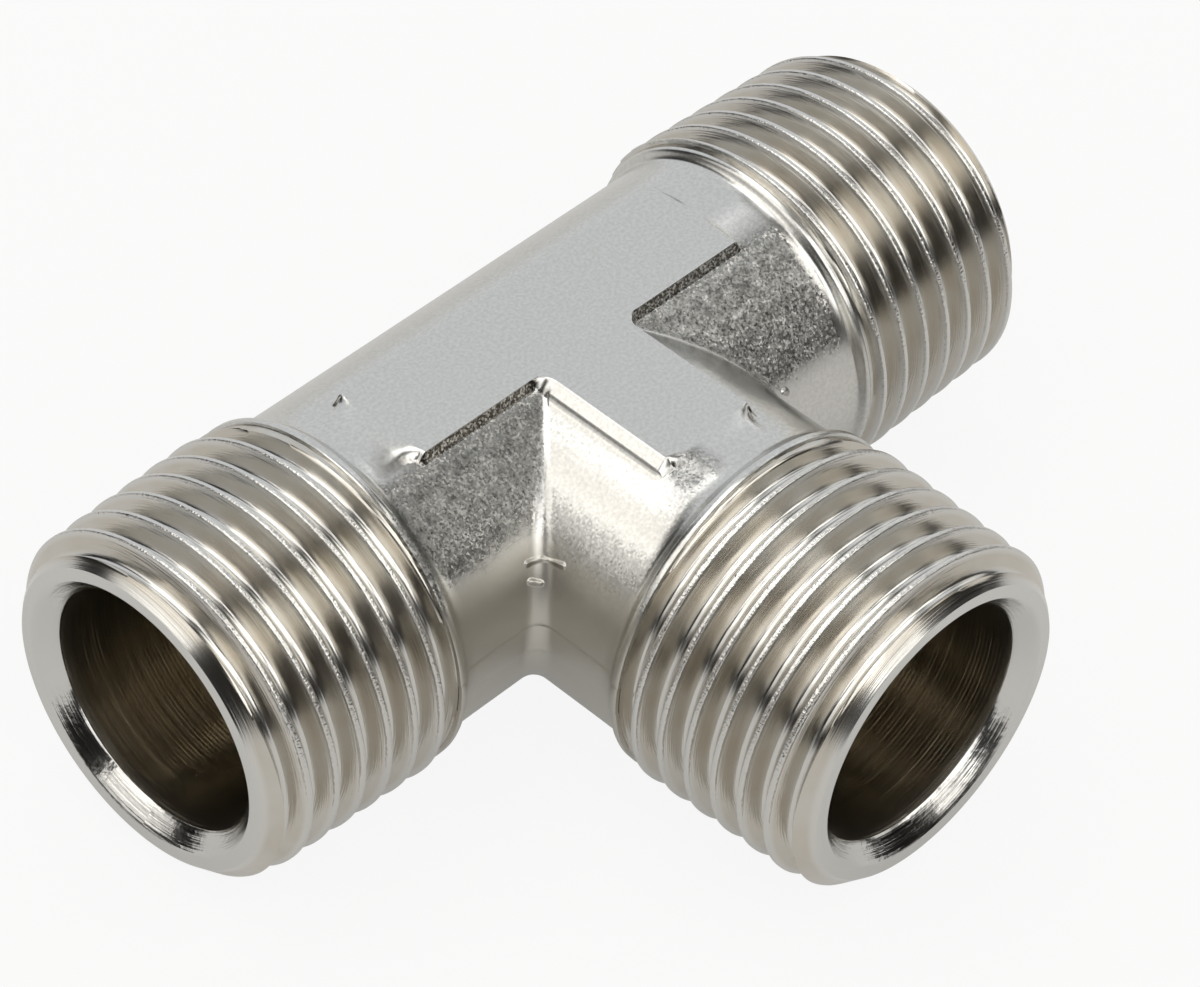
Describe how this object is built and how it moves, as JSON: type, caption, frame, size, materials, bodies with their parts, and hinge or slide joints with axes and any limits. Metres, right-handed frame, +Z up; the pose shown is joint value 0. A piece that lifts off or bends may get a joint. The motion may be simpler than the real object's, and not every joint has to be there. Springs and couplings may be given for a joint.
{
  "type": "tee connector",
  "caption": "T-shaped pipe fitting with male taper threads on its arms, joined bores with countersunk mouths and raised flats on a forged, plated body, for branching off a pipe at right angles.",
  "frame": {"origin": "under the middle of the bounding box, on the surface that the tee's threads lie on; the arms' axes meet 10.59 mm above it and 9.15 mm along +Y", "axes": "+X along the run, -Y along the branch, out of its mouth, and +Z up through the raised flats"},
  "size_m": [0.058, 0.0395, 0.0212],
  "materials": {
    "nickel_plated_brass": "bright nickel plate, turned on the threads and blasted on the forged body"
  },
  "bodies": {
    "root": {"tee_body": "nickel_plated_brass"}
  },
  "joints": []
}
